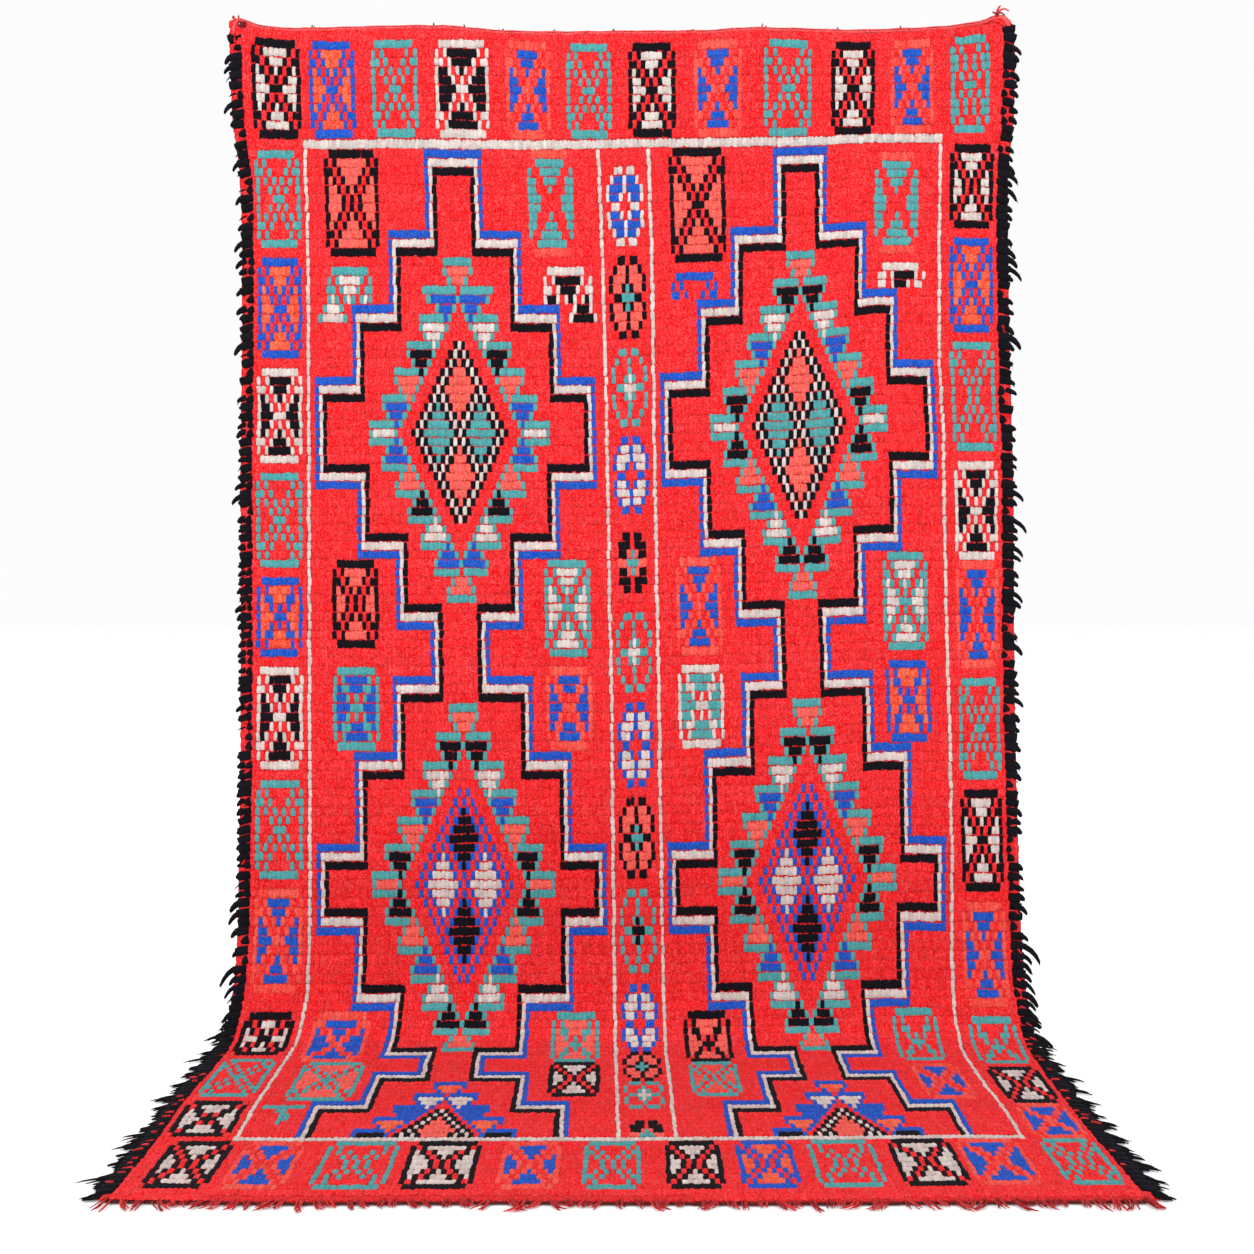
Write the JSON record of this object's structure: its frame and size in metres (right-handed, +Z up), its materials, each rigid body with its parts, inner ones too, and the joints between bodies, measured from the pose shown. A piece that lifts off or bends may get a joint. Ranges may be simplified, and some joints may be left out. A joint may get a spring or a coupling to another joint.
{
  "type": "berber rug",
  "caption": "Thick knotted wool rug hung by its top edge, curving forward to lie on the floor, with black locks along both sides and cut warp ends in front.",
  "frame": {"origin": "on the floor, under the middle of the whole rug's bounding box", "axes": "+Z up; +X to the right as seen from the pile side; the hanging part stands at the +Y side and the run on the floor comes towards -Y"},
  "size_m": [1.7834, 0.8592, 2.2152],
  "materials": {
    "wool_pile": "matt knotted wool pile, red ground",
    "selvedge_wool": "matt black wool locks",
    "warp_yarn": "twisted red wool yarn"
  },
  "bodies": {
    "root": {"rug": "wool_pile", "selvedge_left_hanging": "selvedge_wool", "selvedge_left_bend_upper": "selvedge_wool", "selvedge_left_bend_lower": "selvedge_wool", "selvedge_left_floor": "selvedge_wool", "selvedge_right_hanging": "selvedge_wool", "selvedge_right_bend_upper": "selvedge_wool", "selvedge_right_bend_lower": "selvedge_wool", "selvedge_right_floor": "selvedge_wool", "warp_ends_front": "warp_yarn", "corner_tassel": "warp_yarn"}
  },
  "joints": []
}
